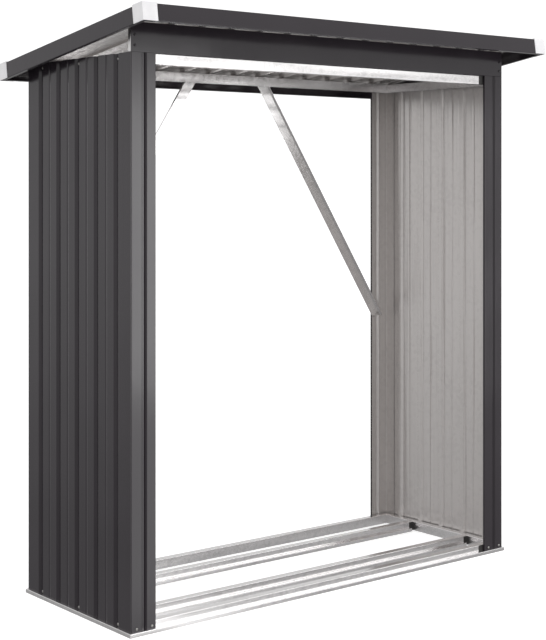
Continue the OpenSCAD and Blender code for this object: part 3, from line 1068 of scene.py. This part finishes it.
class LOGSTORE_OT_screws(StoreOperator, bpy.types.Operator):
    """Drive the pan-head screws that hold the sheets together"""

    bl_idname = "logstore.screws"
    bl_label = "Screws"

    def head(self, radius):
        """Mesh data of one head: a low dome that stands on z = 0, with a cross recess."""
        bm = bmesh.new()
        turns, height = 20, 0.34 * 2 * radius
        profile = [(1.0, 0.0), (1.0, 0.25), (0.93, 0.5), (0.75, 0.78), (0.45, 0.95), (0.2, 1.0)]
        rings = []
        for out, up in profile:
            rings.append(
                [
                    bm.verts.new(
                        (
                            radius * out * math.cos(math.tau * k / turns),
                            radius * out * math.sin(math.tau * k / turns),
                            height * up,
                        )
                    )
                    for k in range(turns)
                ]
            )
        for a, b in zip(rings, rings[1:]):
            for k in range(turns):
                bm.faces.new((a[k], a[(k + 1) % turns], b[(k + 1) % turns], b[k]))
        bm.faces.new(rings[-1])
        bm.faces.new(rings[0][::-1])
        mesh = bpy.data.meshes.new("screw_head")
        bm.to_mesh(mesh)
        bm.free()
        one = bpy.data.objects.new("screw_head", mesh)
        bpy.context.scene.collection.objects.link(one)
        wing, slot, deep = 0.62 * radius, 0.13 * radius, 0.5 * height
        for x, y in ((wing, slot), (slot, wing)):
            cut_away(one, Vector((-x, -y, height - deep)), Vector((x, y, height + deep)))
        return one

    def joined(self, name, places, material, slot="zinc"):
        """One mesh of heads, each at a place and facing a direction."""
        one = self.head(self.sizes.screw_d / 2)
        bm = bmesh.new()
        for place, facing in places:
            before = len(bm.verts)
            bm.from_mesh(one.data)
            bm.verts.ensure_lookup_table()
            turn = Vector(facing).to_track_quat("Z", "Y").to_matrix().to_4x4()
            turn = Matrix.Translation(place) @ turn
            for vertex in bm.verts[before:]:
                vertex.co = turn @ vertex.co
        mesh = bpy.data.meshes.new(name)
        bm.to_mesh(mesh)
        bm.free()
        mesh.materials.append(material)
        mesh.shade_smooth()
        mesh.set_sharp_from_angle(angle=math.radians(35))
        bpy.data.objects.remove(one)
        piece = bpy.data.objects.new(name, mesh)
        bpy.context.scene.collection.objects.link(piece)
        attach(piece, BODY)

    def execute(self, context):
        s = self.sizes
        metal = plated_screw(self.colours)
        for node, out in (("left_wall", -X), ("right_wall", X)):
            low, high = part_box(node)
            middle = (low.y + high.y) / 2
            face = (low.x if out.x < 0 else high.x) - out.x * s.groove_depth
            places = []
            for i in range(0, s.wall_grooves, 2):
                y = middle + (i - (s.wall_grooves - 1) / 2) * s.wall_pitch
                for z in (low.z + WALL_SCREW_UP, high.z - TOP_SCREW_DOWN):
                    places.append((Vector((face, y, z)), out))
            self.joined(node + "_screws", places, metal)
        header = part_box("header")
        places = []
        for node in ("front_left_post", "front_right_post", "rear_left_post", "rear_right_post"):
            low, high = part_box(node)
            front = low.y < 0
            out = -Y if front else Y
            face = low.y if front else high.y
            for share in POST_SCREW_SHARES:
                x = low.x + (high.x - low.x) * share
                places.append((Vector((x, face, low.z + POST_SCREW_UP)), out))
                if not front:
                    places.append((Vector((x, face, high.z - TOP_SCREW_DOWN)), out))
        self.joined("post_screws", places, metal)
        # The header's screws are painted over with the header's own coat.
        places = [
            (Vector((x, header[0].y, z)), -Y)
            for x in (header[0].x + HEADER_SCREW_IN, header[1].x - HEADER_SCREW_IN)
            for z in (header[0].z + rise for rise in HEADER_SCREW_UPS)
        ]
        self.joined("header_screws", places, polyester_coil_coat(self.colours), "anthracite")
        places = []
        for node, side in (("left_brace", -1), ("right_brace", 1)):
            low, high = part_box(node)
            face = high.y - BRACE_T
            outer = low.x if side < 0 else high.x
            x = outer - side * BRACE_SCREW_IN
            places.append((Vector((x, face, low.z + BRACE_SCREW_UP)), -Y))
        self.joined("brace_screws", places, metal)
        start, back, up, _, length = roof_place(s)
        places = []
        for i in range(ROOF_SHEETS * s.sheet_grooves):
            x = s.roof_groove_from + i * s.roof_groove_pitch
            floor = start + X * x + up * (s.fascia_h - s.fascia_clear - s.groove_depth)
            for along in (0.5 * (header[0].y - start.y), length - EAVES_SCREW_IN):
                if i % 2 == 0:
                    places.append((floor + back * along, up))
        self.joined("roof_screws", places, metal)
        return {"FINISHED"}


class LOGSTORE_OT_studio(StoreOperator, bpy.types.Operator):
    """Lay the pale floor, hang the soft lights and set the camera"""

    bl_idname = "logstore.studio"
    bl_label = "Studio"

    def execute(self, context):
        scene = bpy.context.scene
        studio = scene.log_store_studio
        scene.view_settings.view_transform = "Standard"
        # A round cyclorama: a flat floor that sweeps up into a wall on all sides.
        reach, sweep, wall, steps = 26.0, 4.0, 14.0, 96
        profile = [(0.0, 0.0), (reach - sweep, 0.0)]
        profile += [
            (
                reach - sweep + sweep * math.sin(math.radians(a)),
                sweep - sweep * math.cos(math.radians(a)),
            )
            for a in range(10, 91, 10)
        ]
        profile.append((reach, wall))
        mesh = bpy.data.meshes.new("cyclorama")
        bm = bmesh.new()
        edge = [bm.verts.new((x, 0, z)) for x, z in profile]
        line = [bm.edges.new(pair) for pair in zip(edge, edge[1:])]
        bmesh.ops.spin(
            bm, geom=edge + line, cent=(0, 0, 0), axis=(0, 0, 1), angle=math.tau, steps=steps
        )
        bmesh.ops.remove_doubles(bm, verts=bm.verts, dist=0.01)
        bm.to_mesh(mesh)
        bm.free()
        mesh.shade_smooth()
        mesh.materials.append(seamless_paper(self.colours, studio.paper))
        floor = bpy.data.objects.new("cyclorama", mesh)
        scene.collection.objects.link(floor)
        floor.location.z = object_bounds()[0].z - 0.5 * MM
        floor.visible_diffuse = floor.visible_glossy = floor.visible_shadow = False
        floor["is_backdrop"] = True

        world = bpy.data.worlds.new("studio_surround")
        scene.world = world
        world.use_nodes = True
        tree = world.node_tree
        tree.nodes.clear()
        ray = put(tree, "ShaderNodeTexCoord").outputs["Generated"]
        height = put(tree, "ShaderNodeSeparateXYZ", {"Vector": ray}).outputs["Z"]
        level = put(tree, "ShaderNodeMapRange", {"Value": height}, From_Min=-1.0, From_Max=1.0)
        dome = ramp(
            put(tree, "ShaderNodeValToRGB", {"Fac": level.outputs["Result"]}),
            (0.38, (*[studio.ground] * 3, 1)),
            (0.475, (*[studio.horizon] * 3, 1)),
            (0.6, (*[studio.horizon] * 3, 1)),
            (0.8, (*[studio.sky] * 3, 1)),
        )
        background = put(tree, "ShaderNodeBackground", {"Color": dome.outputs["Color"]})
        sky = put(tree, "ShaderNodeOutputWorld")
        tree.links.new(background.outputs[0], sky.inputs["Surface"])

        cards = (
            ("front_card", (2.15, -3.2, 0.85), (0, 0, 0.85), (2.1, 1.6), studio.front),
            ("strip_card", (1.25, -3.2, 0.4), (-0.7, -0.2, 0.4), (0.7, 3.0), studio.strip),
            ("key_card", (-3.0, -3.8, 4.4), (0, 0, 1.2), (2.0, 2.4), studio.key),
        )
        for name, place, aim, size, power in cards:
            lamp = bpy.data.lights.new(name, "AREA")
            lamp.shape = "RECTANGLE"
            lamp.size, lamp.size_y = size
            lamp.energy = power
            thing = bpy.data.objects.new(name, lamp)
            scene.collection.objects.link(thing)
            thing.location = place
            thing.rotation_euler = (Vector(aim) - Vector(place)).to_track_quat("-Z", "Y").to_euler()
            thing.visible_camera = False

        camera = bpy.data.cameras.new("camera")
        camera.lens = studio.lens
        camera.shift_y = studio.shift
        camera.sensor_width = SENSOR_WIDTH
        eye = bpy.data.objects.new("camera", camera)
        scene.collection.objects.link(eye)
        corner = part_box("front_left_post")[0]
        eye.location = (corner.x + EYE_OFFSET[0], corner.y + EYE_OFFSET[1], EYE_HEIGHT)
        eye.rotation_euler = Vector(EYE_DIRECTION).to_track_quat("-Z", "Y").to_euler()
        camera.clip_start, camera.clip_end = 0.1, 100
        scene.camera = eye
        return {"FINISHED"}


class LOGSTORE_PT_panel(bpy.types.Panel):
    """Steps, sizes and colours of the firewood store"""

    bl_idname = "LOGSTORE_PT_panel"
    bl_label = "Log Store"
    bl_space_type = "VIEW_3D"
    bl_region_type = "UI"
    bl_category = "Log Store"

    def draw(self, context):
        layout = self.layout
        for step in STEPS:
            layout.operator(step.bl_idname)
        for group in ("log_store_sizes", "log_store_colours", "log_store_studio"):
            box = layout.box()
            values = getattr(context.scene, group)
            for key in values.__annotations__:
                box.prop(values, key)


GROUPS = {
    "log_store_sizes": LogStoreSizes,
    "log_store_colours": LogStoreColours,
    "log_store_studio": LogStoreStudio,
}
STEPS = (
    LOGSTORE_OT_base,
    LOGSTORE_OT_walls,
    LOGSTORE_OT_posts,
    LOGSTORE_OT_top_ring,
    LOGSTORE_OT_header,
    LOGSTORE_OT_braces,
    LOGSTORE_OT_roof_sheets,
    LOGSTORE_OT_fascias,
    LOGSTORE_OT_caps,
    LOGSTORE_OT_screws,
    LOGSTORE_OT_studio,
)


def register():
    for name, group in GROUPS.items():
        bpy.utils.register_class(group)
        setattr(bpy.types.Scene, name, PointerProperty(type=group))
    for step in STEPS:
        bpy.utils.register_class(step)
    bpy.utils.register_class(LOGSTORE_PT_panel)


def unregister():
    bpy.utils.unregister_class(LOGSTORE_PT_panel)
    for step in reversed(STEPS):
        bpy.utils.unregister_class(step)
    for name, group in reversed(GROUPS.items()):
        delattr(bpy.types.Scene, name)
        bpy.utils.unregister_class(group)


def main():
    register()
    for step in STEPS:
        area, verb = step.bl_idname.split(".")
        getattr(getattr(bpy.ops, area), verb)()


if __name__ == "__main__":
    main()
